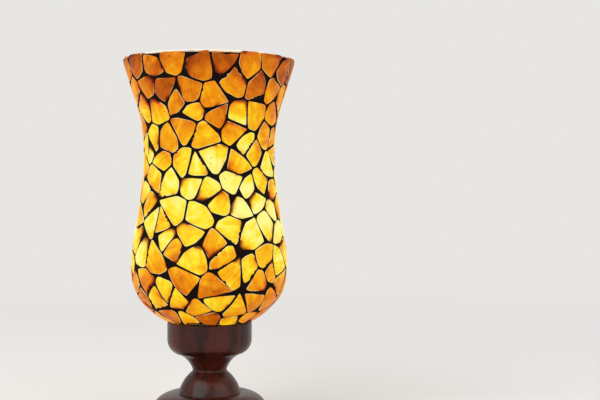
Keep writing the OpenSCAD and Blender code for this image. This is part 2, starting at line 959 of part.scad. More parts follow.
// Grub screw that locks the lampholder on the pipe
module holder_grub_screw() {
    color("silver")
        translate([0, -pipe_r - slip, holder_z + grub_h])
            rotate([90, 0, 0])
                cylinder(h = grub_l, r = grub_r);
}

// Sleeve with its shade flange below and a turned-in lip above
module holder_sleeve() {
    z = holder_z + holder_cap_h;
    top_z = holder_z + holder_h;
    inner = holder_r - holder_wall;
    flange_z = z + flange_h;
    flange_r = holder_r + flange_w;
    lip_r = holder_r - sleeve_lip_w;
    color([0.1, 0.09, 0.08])
        rotate_extrude()
            polygon([
                [inner, z], [holder_r, z],
                [holder_r, flange_z], [flange_r, flange_z + flange_edge],
                [flange_r, flange_z + flange_t - flange_edge], [holder_r, flange_z + flange_t],
                [holder_r, top_z - sleeve_edge], [holder_r - sleeve_edge, top_z],
                [lip_r, top_z], [lip_r, top_z - sleeve_lip_t], [inner, top_z - sleeve_lip_t]
            ]);
}

module terminal_places() {
    for (x = [-terminal_x, terminal_x])
        translate([x, 0, holder_z])
            children();
}

// Porcelain core: a floor with the contact's bore, and a barrel round the screw shell
module holder_core() {
    z = holder_z + holder_cap_h;
    floor_z = z + core_floor_t;
    top_z = holder_z + holder_h - sleeve_lip_t - slip;
    color("white")
        difference() {
            rotate_extrude()
                polygon([
                    [contact_shaft_r + slip, z], [core_r, z], [core_r, top_z],
                    [shell_r + slip * 2, top_z], [shell_r + slip * 2, shell_z],
                    [shell_r - shell_ledge_w, shell_z], [shell_r - shell_ledge_w, floor_z],
                    [spring_pocket_r, floor_z], [spring_pocket_r, floor_z - spring_pocket_h],
                    [contact_shaft_r + slip, floor_z - spring_pocket_h]
                ]);
            terminal_places()
                translate([0, 0, holder_cap_h - 1])
                    cylinder(h = core_floor_t, r = terminal_r + slip);
        }
}

module holder_terminals() {
    drop = 4.4;
    color("darkgoldenrod")
        terminal_places()
            translate([0, 0, holder_cap_h - drop])
                difference() {
                    cylinder(h = drop + core_floor_t - 1.2, r = terminal_r);
                    translate([0, 0, -1])
                        cylinder(h = drop + 1.6, r = lead_d / 2 + slip);
                    translate([0, 0, drop / 2])
                        rotate([0, 90, 0])
                            cylinder(h = 8, r = 1.15, center = true);
                }
}

module holder_terminal_screws() {
    color("silver")
        for (side = [-1, 1])
            translate([side * (terminal_x + lead_d / 2 + slip), 0, holder_z + holder_cap_h - 2.2])
                rotate([0, side * 90, 0])
                    cylinder(h = 3.4, r = 1.05);
}

// A tube whose outside and inside are lists of [z, radius, thread depth]
function thread_ring(k) = [
    for (i = [0:thread_sides - 1])
        let (
            a = 360 * i / thread_sides,
            r = k[1] + k[2] * cos(a - 360 * (k[0] - tip_z) / e27_pitch)
        )
        [r * cos(a), r * sin(a), k[0]]
];
module threaded_tube(outside, inside) {
    levels = concat(outside, [for (i = [len(inside) - 1:-1:0]) inside[i]]);
    n = len(levels);
    polyhedron(
        points = [for (k = levels) each thread_ring(k)],
        faces = [
            for (i = [0:n - 1], j = [0:thread_sides - 1])
                let (
                    a = i * thread_sides + j,
                    b = i * thread_sides + (j + 1) % thread_sides,
                    c = ((i + 1) % n) * thread_sides + j,
                    d = ((i + 1) % n) * thread_sides + (j + 1) % thread_sides
                )
                each [[a, c, b], [b, c, d]]
        ],
        convexity = 10
    );
}

// Levels of a threaded stretch, whose two ends are plain rings of radius end_r
function thread_levels(z, h, r, end_r) =
    let (n = ceil(h / e27_pitch * rings_per_turn))
    [
        for (i = [0:n])
            (i == 0 || i == n) ? [z + h * i / n, end_r, 0] : [z + h * i / n, r, e27_depth]
    ];

module screw_shell() {
    color("darkgoldenrod")
        threaded_tube(
            [[shell_z, shell_r, 0], [shell_z + shell_h, shell_r, 0]],
            thread_levels(
                shell_z, shell_h, e27_r + thread_gap, e27_r + thread_gap + e27_depth
            )
        );
}

// Sprung plunger that meets the bulb's contact. Its stop leaves it the travel to follow
// the bulb up before it meets the underside of the core.
module centre_contact() {
    stop_t = 1.1;
    stop_r = 3.2;
    stop_z = holder_z + holder_cap_h - contact_travel - stop_t;
    color("darkgoldenrod") {
        translate([0, 0, tip_z - contact_head_t])
            cylinder(h = contact_head_t, r = contact_head_r);
        translate([0, 0, stop_z])
            cylinder(h = tip_z - stop_z, r = contact_shaft_r);
        translate([0, 0, stop_z])
            cylinder(h = stop_t, r = stop_r);
    }
}

spring_turns = 5;
spring_wire_r = 0.35;
spring_r = 3.3;
module contact_spring() {
    z = holder_z + holder_cap_h + core_floor_t - spring_pocket_h + spring_wire_r;
    h = tip_z - contact_head_t - spring_wire_r - z;
    n = spring_turns * 8;
    color("silver")
        sweep(
            [
                for (i = [0:n])
                    let (a = 360 * i / 8)
                    [spring_r * cos(a), spring_r * sin(a), z + h * i / n]
            ],
            spring_wire_r, 6, [1, 0, 0]
        );
}

module bulb_cap() {
    inner_r = e27_r - e27_depth - cap_wall;
    color("silver")
        threaded_tube(
            concat(
                thread_levels(cap_z, cap_thread_h, e27_r, e27_r - e27_depth),
                [[cap_skirt_z + cap_step_h, cap_skirt_r, 0], [cap_top_z, cap_skirt_r, 0]]
            ),
            [
                [cap_z, inner_r, 0],
                [cap_skirt_z, inner_r, 0],
                [cap_skirt_z + cap_step_h, cap_skirt_r - cap_wall, 0],
                [cap_top_z, cap_skirt_r - cap_wall, 0]
            ]
        );
}

// Black glass cone between the cap and the contact
module bulb_insulator() {
    inner_r = e27_r - e27_depth - cap_wall;
    color([0.05, 0.05, 0.06])
        rotate_extrude()
            polygon([
                [0, tip_z + bulb_contact_h], [contact_head_r + 0.6, tip_z + bulb_contact_h],
                [inner_r - 0.8, cap_z - 0.2],
                [inner_r - slip * 3, cap_z + 0.6], [inner_r - slip * 3, cap_z + 2], [0, cap_z + 2]
            ]);
}

module bulb_contact() {
    color("silver")
        translate([0, 0, tip_z])
            cylinder(h = bulb_contact_h, r1 = contact_head_r - 0.9, r2 = contact_head_r);
}

// Pear-shaped outline of the bulb, shrunk by d
function bulb_line(d) =
    let (r = bulb_r - d, neck = bulb_neck_r - d, join = 32)
    concat(
        [[neck, glass_z], [neck, cap_top_z + 1.5]],
        bow(
            [neck, cap_top_z + 1.5],
            [r * cos(join), bulb_centre_z - r * sin(join)],
            -1.6, 8
        ),
        [for (i = [1:14]) let (a = -join + (90 + join) * i / 14)
            [max(0, r * cos(a)), bulb_centre_z + r * sin(a)]]
    );

module bulb_glass() {
    inner = bulb_line(bulb_wall);
    color([1, 0.95, 0.85])
        rotate_extrude()
            polygon(concat(bulb_line(0), [for (i = [len(inner) - 1:-1:0]) inner[i]]));
}

// Glass mount inside the bulb: a flare sealed to the neck, a tube and a flat pinch
module bulb_stem() {
    flare_r = bulb_neck_r - bulb_wall - 0.2;
    z = glass_z + 0.2;
    color([0.85, 0.92, 0.92])
        rotate_extrude()
            polygon(concat(
                [[0, z + 2], [flare_r, z]],
                bow([flare_r, z + 1], [2.6, z + 9], -2, 6),
                [[2.6, pinch_z], [0, pinch_z]]
            ));
}

// A straight round rod from p to q
module rod(p, q, r) {
    d = q - p;
    translate(p)
        rotate([0, acos(d[2] / norm(d)), atan2(d[1], d[0])])
            cylinder(h = norm(d), r = r);
}

module bulb_supports() {
    color("silver")
        for (side = [-1, 1])
            rod(
                [side * 1.4, 0, pinch_z + 0.12],
                [side * (filament_r - 0.3), 0, bulb_centre_z - 0.6],
                0.35
            );
}

module bulb_filament() {
    color("orange")
        translate([0, 0, bulb_centre_z])
            rotate_extrude(angle = 180)
                translate([filament_r, 0])
                    circle(r = 0.5);
}

foot();
stem();
cup();
lamp_pipe();
base_washer();
base_lock_washer();
base_nut();
cup_washer();
cup_nut();
riser_sleeve();
bottom_cover();
cover_screws();
rubber_feet();
cord_grommet();
terminal_block();
terminal_inserts();
terminal_screws();
block_screw();
lead_live();
lead_neutral();
holder_cap();
holder_sleeve();
holder_core();
screw_shell();
holder_terminals();
holder_terminal_screws();
holder_grub_screw();
contact_spring();
centre_contact();
bulb_cap();
bulb_insulator();
bulb_contact();
bulb_glass();
bulb_stem();
bulb_supports();
bulb_filament();
seat_ring();
glass_shade();
grout();
chip_course(0);  // chips_01
chip_course(1);  // chips_02
chip_course(2);  // chips_03
chip_course(3);  // chips_04
chip_course(4);  // chips_05
chip_course(5);  // chips_06
chip_course(6);  // chips_07
chip_course(7);  // chips_08
chip_course(8);  // chips_09
chip_course(9);  // chips_10
chip_course(10);  // chips_11
chip_course(11);  // chips_12
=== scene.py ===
"""The looks of a mosaic table lamp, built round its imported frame.

Metres, +Z up, the front towards -Y. The shade's shell chips and grout are new pieces; the
turned base, the glass, the lampholder and the hardware are the frame's own solids, dressed.
"""

import json
import math
import random

import bmesh
import bpy
from bpy.props import FloatProperty, FloatVectorProperty, IntProperty, PointerProperty
from mathutils import Matrix, Vector, noise
from mathutils.bvhtree import BVHTree

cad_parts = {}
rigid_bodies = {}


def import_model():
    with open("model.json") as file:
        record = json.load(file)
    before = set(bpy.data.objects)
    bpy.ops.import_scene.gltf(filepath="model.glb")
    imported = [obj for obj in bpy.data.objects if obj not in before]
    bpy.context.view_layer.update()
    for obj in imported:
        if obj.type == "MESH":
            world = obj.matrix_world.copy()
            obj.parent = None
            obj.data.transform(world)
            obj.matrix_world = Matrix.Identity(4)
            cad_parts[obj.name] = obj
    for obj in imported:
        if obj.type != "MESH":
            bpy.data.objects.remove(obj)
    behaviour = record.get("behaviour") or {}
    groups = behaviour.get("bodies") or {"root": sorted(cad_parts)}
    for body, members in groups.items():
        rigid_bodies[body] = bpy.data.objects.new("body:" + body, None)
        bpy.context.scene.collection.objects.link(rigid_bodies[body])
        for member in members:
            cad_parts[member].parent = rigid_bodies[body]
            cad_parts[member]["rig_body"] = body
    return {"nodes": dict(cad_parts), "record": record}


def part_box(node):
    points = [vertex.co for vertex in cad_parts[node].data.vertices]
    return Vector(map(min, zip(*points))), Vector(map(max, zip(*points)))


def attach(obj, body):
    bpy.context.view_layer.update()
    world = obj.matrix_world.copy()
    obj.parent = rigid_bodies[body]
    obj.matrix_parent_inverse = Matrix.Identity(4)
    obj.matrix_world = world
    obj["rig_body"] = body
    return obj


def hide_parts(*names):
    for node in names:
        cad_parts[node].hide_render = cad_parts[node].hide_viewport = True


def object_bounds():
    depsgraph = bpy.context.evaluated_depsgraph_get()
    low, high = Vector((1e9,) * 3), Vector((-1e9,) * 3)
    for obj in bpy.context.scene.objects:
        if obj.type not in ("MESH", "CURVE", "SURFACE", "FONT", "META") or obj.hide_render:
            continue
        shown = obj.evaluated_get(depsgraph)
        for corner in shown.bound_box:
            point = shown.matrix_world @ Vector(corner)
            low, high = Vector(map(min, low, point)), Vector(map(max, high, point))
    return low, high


bl_info = {
    "name": "Mosaic table lamp",
    "version": (1, 0, 0),
    "blender": (4, 5, 0),
    "location": "View3D > Sidebar > Lamp",
    "description": "Dresses a table lamp: a lit shell mosaic shade on a turned wooden base",
    "category": "Object",
}

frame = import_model()
cad_low, cad_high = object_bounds()
NODES = frame["nodes"]
MM = 0.001
UP = Vector((0, 0, 1))

COURSES = sorted(n for n in NODES if n.startswith("chips_"))
bulb_low, bulb_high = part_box("bulb_glass")
BULB_R = (bulb_high.x - bulb_low.x) / 2
BULB_Z = bulb_high.z - BULB_R
GLASS_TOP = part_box("glass_shade")[1].z
RIM_R = min(*cad_high.xy, *-cad_low.xy)
LONG_REACH = 11 * MM


def srgb(r, g, b):
    """A colour as eight-bit display values, made linear."""
    def channel(v):
        v /= 255
        return v / 12.92 if v <= 0.04045 else ((v + 0.055) / 1.055) ** 2.4
    return channel(r), channel(g), channel(b), 1.0


def colour(name, description, value):
    return FloatVectorProperty(
        name=name, description=description, default=value[:3], size=3, subtype="COLOR",
        min=0, max=1)


def length(name, description, value):
    return FloatProperty(name=name, description=description, default=value, unit="LENGTH")


def share(name, description, value):
    return FloatProperty(name=name, description=description, default=value, min=0, max=1)


class LampMosaicSettings(bpy.types.PropertyGroup):
    """Sizes of the shell chips and the grout between them."""
    loose: length("Loose", "How far a chip's sides stand back from its place", 0.1 * MM)
    taper: share("Taper", "How much a chip narrows towards its tip", 0.35)
    twist: length("Twist", "Most that turning a chip moves its corners", 1.0 * MM)
    rim_reach: length("Rim reach", "Most that a chip at the rim reaches up past its place", 1.3 * MM)
    edge_width: length("Edge width", "Width of the rounded edge of a chip", 0.45 * MM)
    edge_drop: length("Edge drop", "How far a chip's edge lies below its face", 0.35 * MM)
    chip_back: length("Chip back", "How far a chip's back lies inside the bed", 0.6 * MM)
    tilt: FloatProperty(
        name="Tilt", description="Most that a chip leans", default=math.radians(1.3),
        subtype="ANGLE")
    broken: share("Broken", "Share of the chips with a broken side", 0.35)
    notch: length("Notch", "Depth of the notches in a broken side", 1.4 * MM)
    grout_sink: length("Grout sink", "From the chips' faces down to the grout", 0.5 * MM)
    grout_back: length("Grout back", "How far the grout's back lies inside the bed", 0.5 * MM)
    grout_stop: length("Grout stop", "From the chips' top edge down to the grout's", 1.3 * MM)
    grout_rough: length("Grout roughness", "Height of the lumps in the grout", 0.12 * MM)
    seed: IntProperty(name="Seed", description="Changes every chip's own look", default=8)


class LampColourSettings(bpy.types.PropertyGroup):
    """Colours that a user would change."""
    # Ember to pale are the colours of the painted glow of the bulb through the shell, from furthest
    # from the bulb to nearest. Pale is the brightest painted glow, right in front of the bulb.
    ember: colour("Ember", "Shell furthest from the bulb", srgb(160, 72, 1))
    amber: colour("Amber", "Shell far from the bulb", srgb(202, 100, 2))
    orange: colour("Orange", "Shell at middle distance", srgb(238, 143, 6))
    gold: colour("Gold", "Shell near the bulb", srgb(252, 190, 14))
    straw: colour("Straw", "Shell nearest the bulb", srgb(255, 232, 46))
    pale: colour("Pale", "The thinnest chips in front of the bulb", srgb(255, 251, 142))
    grout: colour("Grout", "Cement between the chips", srgb(22, 11, 7))
    wood: colour("Wood", "Stained wood between the grain lines", srgb(76, 26, 13))
    grain: colour("Grain", "Grain lines of the wood", srgb(26, 8, 5))
    floor: colour("Floor", "Floor and background", srgb(232, 230, 227))


class LampStageSettings(bpy.types.PropertyGroup):
    """Where the camera stands, and how bright the light is."""
    distance: length("Distance", "From the lamp's axis to the camera", 0.95)
    eye_height: length("Eye height", "Height of the camera", 0.2117)
    aside: length("Aside", "How far the camera stands to the lamp's right", 0.0796)
    pitch: FloatProperty(
        name="Pitch", description="How far the camera looks down",
        default=math.radians(0.8), subtype="ANGLE")
    lens: FloatProperty(name="Lens", description="Focal length in millimetres", default=64.8)
    key: FloatProperty(name="Key", description="Soft light from the left", default=29,
                       unit="POWER")
    fill: FloatProperty(name="Fill", description="Soft light from the right", default=12,
                        unit="POWER")
    sky: FloatProperty(name="Sky", description="Strength of the even light", default=0.73)


def settings():
    scene = bpy.context.scene
    return scene.lamp_mosaic, scene.lamp_colours, scene.lamp_stage


def rgba(value):
    return (*value[:3], 1.0)


class Tree:
    """A node tree that is written from its inputs to its output."""

    def __init__(self, tree):
        self.tree = tree
        tree.nodes.clear()

    def node(self, kind, **values):
        n = self.tree.nodes.new(kind)
        for name, value in values.items():
            setattr(n, name, value)
        return n

    def feed(self, socket, value):
        """Links a socket to another node's output, or sets its own value."""
        if isinstance(value, bpy.types.NodeSocket):
            self.tree.links.new(value, socket)
        elif value is not None:
            socket.default_value = value

    def math(self, operation, a, b=None, clamp=False):
        n = self.node("ShaderNodeMath", operation=operation, use_clamp=clamp)
        self.feed(n.inputs[0], a)
        self.feed(n.inputs[1], b)
        return n.outputs[0]

    def vector(self, operation, a, b=None):
        n = self.node("ShaderNodeVectorMath", operation=operation)
        self.feed(n.inputs[0], a)
        self.feed(n.inputs[1], b)
        return n.outputs["Value" if operation in ("DISTANCE", "LENGTH") else "Vector"]

    def scaled(self, vector, scale, turn=(0, 0, 0)):
        n = self.node("ShaderNodeMapping")
        self.feed(n.inputs["Vector"], vector)
        n.inputs["Scale"].default_value = scale
        n.inputs["Rotation"].default_value = turn
        return n.outputs["Vector"]

    def remap(self, value, low, high, to_low=0.0, to_high=1.0, smooth=False):
        n = self.node("ShaderNodeMapRange")
        n.interpolation_type = "SMOOTHSTEP" if smooth else "LINEAR"
        for socket, v in zip(n.inputs, (value, low, high, to_low, to_high)):
            self.feed(socket, v)
        return n.outputs["Result"]

    def noise(self, vector, scale, detail=3.0, roughness=0.5, distortion=0.0):
        n = self.node("ShaderNodeTexNoise")
        self.feed(n.inputs["Vector"], vector)
        self.feed(n.inputs["Scale"], scale)
        n.inputs["Detail"].default_value = detail
        n.inputs["Roughness"].default_value = roughness
        n.inputs["Distortion"].default_value = distortion
        return n.outputs["Fac"]

    def cells(self, vector, scale, feature="F1"):
        n = self.node("ShaderNodeTexVoronoi", feature=feature)
        self.feed(n.inputs["Vector"], vector)
        self.feed(n.inputs["Scale"], scale)
        return n.outputs["Distance"]

    def ramp(self, value, stops):
        n = self.node("ShaderNodeValToRGB")
        self.feed(n.inputs["Fac"], value)
        marks = n.color_ramp.elements
        while len(marks) < len(stops):
            marks.new(0.5)
        for mark, (place, shade) in zip(marks, stops):
            mark.position = place
            mark.color = rgba(shade)
        return n.outputs["Color"]

    def blend(self, factor, a, b, mode="MIX"):
        n = self.node("ShaderNodeMix", data_type="RGBA", blend_type=mode)
        self.feed(n.inputs["Factor"], factor)
        for socket, value in zip(n.inputs[6:8], (a, b)):
            self.feed(socket, value if isinstance(value, bpy.types.NodeSocket) else rgba(value))
        return n.outputs[2]

    def bump(self, height, strength, distance, normal=None):
        n = self.node("ShaderNodeBump")
        n.inputs["Strength"].default_value = strength
        n.inputs["Distance"].default_value = distance
        self.feed(n.inputs["Height"], height)
        self.feed(n.inputs["Normal"], normal)
        return n.outputs["Normal"]

    def attribute(self, name):
        return self.node("ShaderNodeAttribute", attribute_name=name).outputs["Fac"]

    def place(self):
        return self.node("ShaderNodeTexCoord").outputs["Object"]

    def use(self, group, **inputs):
        n = self.node("ShaderNodeGroup", node_tree=group)
        for name, value in inputs.items():
            self.feed(n.inputs[name.replace("_", " ")], value)
        return n.outputs


class Group(Tree):
    """A shader node group with named inputs and outputs."""

    def __init__(self, name, inputs, outputs):
        tree = bpy.data.node_groups.new(name, "ShaderNodeTree")
        for label, kind, value in inputs:
            socket = tree.interface.new_socket(label, in_out="INPUT", socket_type=kind)
            if value is not None:
                socket.default_value = value
        for label, kind in outputs:
            tree.interface.new_socket(label, in_out="OUTPUT", socket_type=kind)
        super().__init__(tree)
        self.inputs = self.node("NodeGroupInput").outputs
        self.outputs = self.node("NodeGroupOutput").inputs

    def give(self, name, value):
        self.feed(self.outputs[name], value)


VALUE, VECTOR, COLOUR = "NodeSocketFloat", "NodeSocketVector", "NodeSocketColor"
_groups = {}


def group(name):
    """The shader node group of that name, built at its first use."""
    if name not in _groups:
        _groups[name] = GROUPS[name]().tree
    return _groups[name]


def bulb_glow():
    """Painted light of the bulb: how strongly it would light a place, from distance alone, 1 right
    beside it, 0 at the far edge of the shade.
    """
    g = Group("Bulb glow", [("Place", VECTOR, None)], [("Glow", VALUE)])
    below_centre = 3.5 * MM
    taller = 1.18
    place = g.vector("MULTIPLY", g.inputs["Place"], (1, 1, taller))
    away = g.vector("DISTANCE", place, (0, 0, (BULB_Z - below_centre) * taller))
    g.give("Glow", g.remap(away, 0.056, 0.167, 1.0, 0.0))
    return g


def growth_lines():
    """The growth lines of a shell, running along the first axis of its own map."""
    g = Group("Growth lines", [("Map", VECTOR, None), ("Fineness", VALUE, 1.0)],
              [("Lines", VALUE), ("Bands", VALUE), ("Cracks", VALUE)])
    fine = g.scaled(g.inputs["Map"], (0.35, 9, 1))
    broad = g.scaled(g.inputs["Map"], (0.5, 2.2, 1))
    g.give("Lines", g.noise(fine, g.inputs["Fineness"], 4, 0.65, 0.3))
    g.give("Bands", g.noise(broad, g.inputs["Fineness"], 2, 0.5, 0.6))
    waves = g.node("ShaderNodeTexWave", bands_direction="Y")
    g.feed(waves.inputs["Vector"], g.scaled(g.inputs["Map"], (1, 1, 1), (0, 0, 0.1)))
    for socket, value in (("Scale", 1.9), ("Distortion", 5.0), ("Detail", 1.5),
                          ("Detail Scale", 0.35)):
        waves.inputs[socket].default_value = value
    some = g.remap(g.noise(g.inputs["Map"], 0.8, 2), 0.5, 0.62, 0, 1, True)
    g.give("Cracks", g.math("MULTIPLY", g.remap(waves.outputs["Fac"], 0.985, 0.999, 0, 1), some))
    return g


def specks():
    """Small scattered marks: 1 on a mark, 0 elsewhere."""
    g = Group("Specks", [("Map", VECTOR, None), ("Scale", VALUE, 3.0), ("Size", VALUE, 0.12)],
              [("Marks", VALUE)])
    near = g.cells(g.inputs["Map"], g.inputs["Scale"])
    ragged = g.noise(g.inputs["Map"], 14, 2)
    size = g.math("MULTIPLY", g.inputs["Size"], ragged)
    g.give("Marks", g.remap(near, g.math("MULTIPLY", size, 0.5), size, 1.0, 0.0, True))
    return g


def wood_grain():
    """Grain and pores that run up the turned wood, and the fine rings of the lathe."""
    g = Group("Wood grain", [("Place", VECTOR, None)],
              [("Grain", VALUE), ("Pores", VALUE), ("Rings", VALUE)])
    place = g.inputs["Place"]
    flow = g.noise(g.scaled(place, (60, 60, 9)), 1.0, 3, 0.55, 0.8)
    lines = g.noise(g.scaled(place, (420, 420, 26)), 1.0, 3, 0.6, 0.4)
    both = g.math("ADD", g.math("MULTIPLY", flow, 0.6), g.math("MULTIPLY", lines, 0.4))
    g.give("Grain", g.remap(both, 0.36, 0.62, 0, 1, True))
    pores = g.noise(g.scaled(place, (1500, 1500, 110)), 1.0, 2, 0.5)
    g.give("Pores", g.remap(pores, 0.6, 0.72, 0, 1, True))
    g.give("Rings", g.noise(g.scaled(place, (4, 4, 1600)), 1.0, 2, 0.5))
    return g


def surface_wear():
    """Uneven handling: soft patches of dullness, and fine scratches."""
    g = Group("Surface wear", [("Place", VECTOR, None), ("Scale", VALUE, 60.0)],
              [("Patches", VALUE), ("Scratches", VALUE)])
    g.give("Patches", g.noise(g.inputs["Place"], g.inputs["Scale"], 4, 0.6))
    fine = g.scaled(g.inputs["Place"], (5, 1, 12), (0.4, 0.9, 0.2))
    g.give("Scratches", g.noise(fine, g.inputs["Scale"], 4, 0.7, 0.4))
    return g


GROUPS = {
    "Bulb glow": bulb_glow,
    "Growth lines": growth_lines,
    "Specks": specks,
    "Wood grain": wood_grain,
    "Surface wear": surface_wear,
}


class Finish(Tree):
    """A material with one Principled shader. Plain values go on the shader's own sockets."""

    def __init__(self, name, **plain):
        self.material = bpy.data.materials.new(name)
        self.material.use_nodes = True
        super().__init__(self.material.node_tree)
        self.shader = self.node("ShaderNodeBsdfPrincipled")
        out = self.node("ShaderNodeOutputMaterial")
        self.tree.links.new(self.shader.outputs[0], out.inputs["Surface"])
        for socket, value in plain.items():
            self.set(socket, value)

    def set(self, socket, value):
        self.feed(self.shader.inputs[socket.replace("_", " ")], value)


def shell_finish():
    """Shell lit from behind, with that backlight painted in as emitted glow: yellow near the bulb
    and amber far from it.
    """
    _, tones, _ = settings()
    f = Finish("Lit shell", Roughness=0.38, Specular_IOR_Level=0.08, Emission_Strength=0.84)
    where = f.place()
    own = f.node("ShaderNodeUVMap", uv_map="shell").outputs["UV"]
    inside = f.attribute("inside")
    glow = f.use(group("Bulb glow"), Place=where)["Glow"]
    growth = f.use(group("Growth lines"), Map=own)
    marks = f.use(group("Specks"), Map=own, Scale=1.1, Size=0.17)["Marks"]
    cloud = f.noise(own, 0.9, 3, 0.5, 0.4)
    patches = f.noise(own, 0.55, 2, 0.5)

    # Painted glow level from the distance to the bulb, with each chip's own tone and shell bands
    # added. The chip's side value adds painted shade on one side and painted light on the other.
    level = f.remap(glow, 0, 1, 0.1, 0.89)
    for part, low, high, reach in (
            (f.attribute("tint"), 0, 1, 0.21), (f.attribute("shade_side"), -1, 1, 0.12),
            (cloud, 0.25, 0.75, 0.15), (growth["Bands"], 0.3, 0.7, 0.08),
            (growth["Lines"], 0.3, 0.7, 0.05)):
        level = f.math("ADD", level, f.remap(part, low, high, -reach, reach))
    lit = f.ramp(level, [
        (0.0, tones.ember), (0.22, tones.amber), (0.44, tones.orange), (0.64, tones.gold),
        (0.82, tones.straw), (1.0, tones.pale)])
    # Painted shade: one side of some chips darkens towards the edge, first warmer and then nearly
    # black.
    one_side = f.math("MULTIPLY", f.remap(f.attribute("shade_side"), 0.2, -0.75, 0.2, 1, True),
                      f.remap(inside, 0.05, 0.8, 1, 0))
    painted_edge_shade = f.math("MULTIPLY", f.remap(patches, 0.42, 0.58, 0, 1, True), one_side)
    warm = f.math("MULTIPLY", painted_edge_shade, 1.6, clamp=True)
    lit = f.blend(warm, lit, (1, 0.55, 0.2), "MULTIPLY")
    dark = f.math("MULTIPLY", f.math("SUBTRACT", painted_edge_shade, 0.33), 2.6, clamp=True)
    lit = f.blend(dark, lit, (0.2, 0.1, 0.1), "MULTIPLY")
    lit = f.blend(growth["Cracks"], lit, (0.6, 0.4, 0.3), "MULTIPLY")
    # Painted highlight: a thin bright line along parts of each chip's edge, paler near the bulb.
    rim = f.math("MULTIPLY", f.remap(inside, 0.08, 0.28, 0.75, 0, True),
                 f.remap(patches, 0.56, 0.44))
    bright = f.blend(glow, srgb(246, 190, 106), srgb(255, 253, 204))
    lit = f.blend(rim, lit, bright, "LIGHTEN")
    lit = f.blend(f.math("MULTIPLY", marks, 0.9), lit, (0.35, 0.08, 0.03), "MULTIPLY")
    # The painted glow is emitted, and the base colour is a dark share of the same painted glow.
    f.set("Emission_Color", lit)
    f.set("Base_Color", f.blend(0.86, lit, (0, 0, 0)))
    f.set("Normal", f.bump(growth["Lines"], 0.35, 0.15 * MM))
    return f.material


def grout_finish():
    _, tones, _ = settings()
    f = Finish("Dark grout", Specular_IOR_Level=0.08)
    where = f.place()
    wear = f.use(group("Surface wear"), Place=where, Scale=220.0)
    grains = f.noise(where, 2600, 3, 0.6)
    f.set("Base_Color", f.blend(wear["Patches"], srgb(12, 6, 4), tones.grout))
    f.set("Roughness", f.remap(wear["Patches"], 0.3, 0.7, 0.78, 0.95))
    f.set("Normal", f.bump(grains, 0.5, 0.12 * MM))
    return f.material


def clear_glass_finish():
    """Clear glass, with a painted glow along its rim, emitted as if the light that it carries from
    the bulb left it there.
    """
    f = Finish("Clear glass", Base_Color=(0.985, 0.985, 0.98, 1), Transmission_Weight=1.0,
               IOR=1.5, Emission_Strength=0.22)
    where = f.place()
    wear = f.use(group("Surface wear"), Place=where, Scale=40.0)
    f.set("Roughness", f.remap(wear["Patches"], 0.4, 0.8, 0.0, 0.06))
    height = f.node("ShaderNodeSeparateXYZ")
    f.feed(height.inputs[0], where)
    # Painted glow along the top of the rim, uneven in patches.
    rim = f.remap(height.outputs["Z"], GLASS_TOP - 1.8 * MM, GLASS_TOP - 0.6 * MM, 0, 1, True)
    rim = f.math("MULTIPLY", rim, f.remap(wear["Patches"], 0.3, 0.7, 0.6, 1.0))
    f.set("Emission_Color", f.blend(rim, (0, 0, 0), srgb(255, 240, 212)))
    return f.material


def frosted_glass_finish():
    """The lit bulb: brightest round its filament, and cooler towards its neck."""
    f = Finish("Lit frosted glass", Roughness=0.45, Emission_Strength=0.8,
               Specular_IOR_Level=0.4)
    where = f.place()
    away = f.vector("DISTANCE", where, (0, 0, BULB_Z))
    f.set("Emission_Color", f.ramp(f.remap(away, 0.020, 0.052), [
        (0.0, srgb(255, 238, 190)), (0.45, srgb(255, 212, 132)), (1.0, srgb(222, 136, 50))]))
    powder = f.noise(where, 900, 3)
    f.set("Base_Color", f.blend(powder, srgb(134, 126, 110), srgb(122, 112, 96)))
    f.set("Normal", f.bump(powder, 0.1, 0.05 * MM))
    return f.material


def wood_finish():
    """Turned wood with a dark red-brown stain under gloss lacquer."""
    _, tones, _ = settings()
    f = Finish("Stained turned wood", Coat_Weight=0.3, Coat_Roughness=0.18, Coat_IOR=1.5,
               Specular_IOR_Level=0.1)
    where = f.place()
    wood = f.use(group("Wood grain"), Place=where)
    wear = f.use(group("Surface wear"), Place=where, Scale=70.0)
    stain = f.blend(wood["Grain"], tones.grain, tones.wood)
    stain = f.blend(f.math("MULTIPLY", wood["Pores"], 0.6), stain, srgb(14, 6, 5))
    stain = f.blend(f.remap(wear["Patches"], 0.35, 0.7, 0.0, 0.35), stain, srgb(44, 14, 8))
    f.set("Base_Color", stain)
    f.set("Roughness", f.remap(wear["Patches"], 0.3, 0.7, 0.32, 0.45))
    rings = f.bump(wood["Rings"], 0.12, 0.1 * MM)
    f.set("Normal", f.bump(wood["Pores"], 0.2, -0.1 * MM, rings))
    return f.material


def metal_finish(name, bright, dull, low, high, scale=80.0):
    """A metal with soft patches of tarnish and fine scratches."""
    f = Finish(name, Metallic=1.0)
    wear = f.use(group("Surface wear"), Place=f.place(), Scale=scale)
    f.set("Base_Color", f.blend(f.remap(wear["Patches"], 0.4, 0.8), bright, dull))
    f.set("Roughness", f.remap(wear["Scratches"], 0.3, 0.7, low, high))
    f.set("Normal", f.bump(wear["Scratches"], 0.06, 0.02 * MM))
    return f.material


def moulded_finish(name, main, shade, low, high, grain_scale=900.0, depth=0.04, shine=0.45):
    """Moulded plastic, rubber or glaze: an even colour with a faint grain."""
    f = Finish(name, Specular_IOR_Level=shine)
    where = f.place()
    wear = f.use(group("Surface wear"), Place=where, Scale=90.0)
    f.set("Base_Color", f.blend(f.remap(wear["Patches"], 0.35, 0.7), main, shade))
    f.set("Roughness", f.remap(wear["Patches"], 0.3, 0.7, low, high))
    f.set("Normal", f.bump(f.noise(where, grain_scale, 3), 0.3, depth * MM))
    return f.material


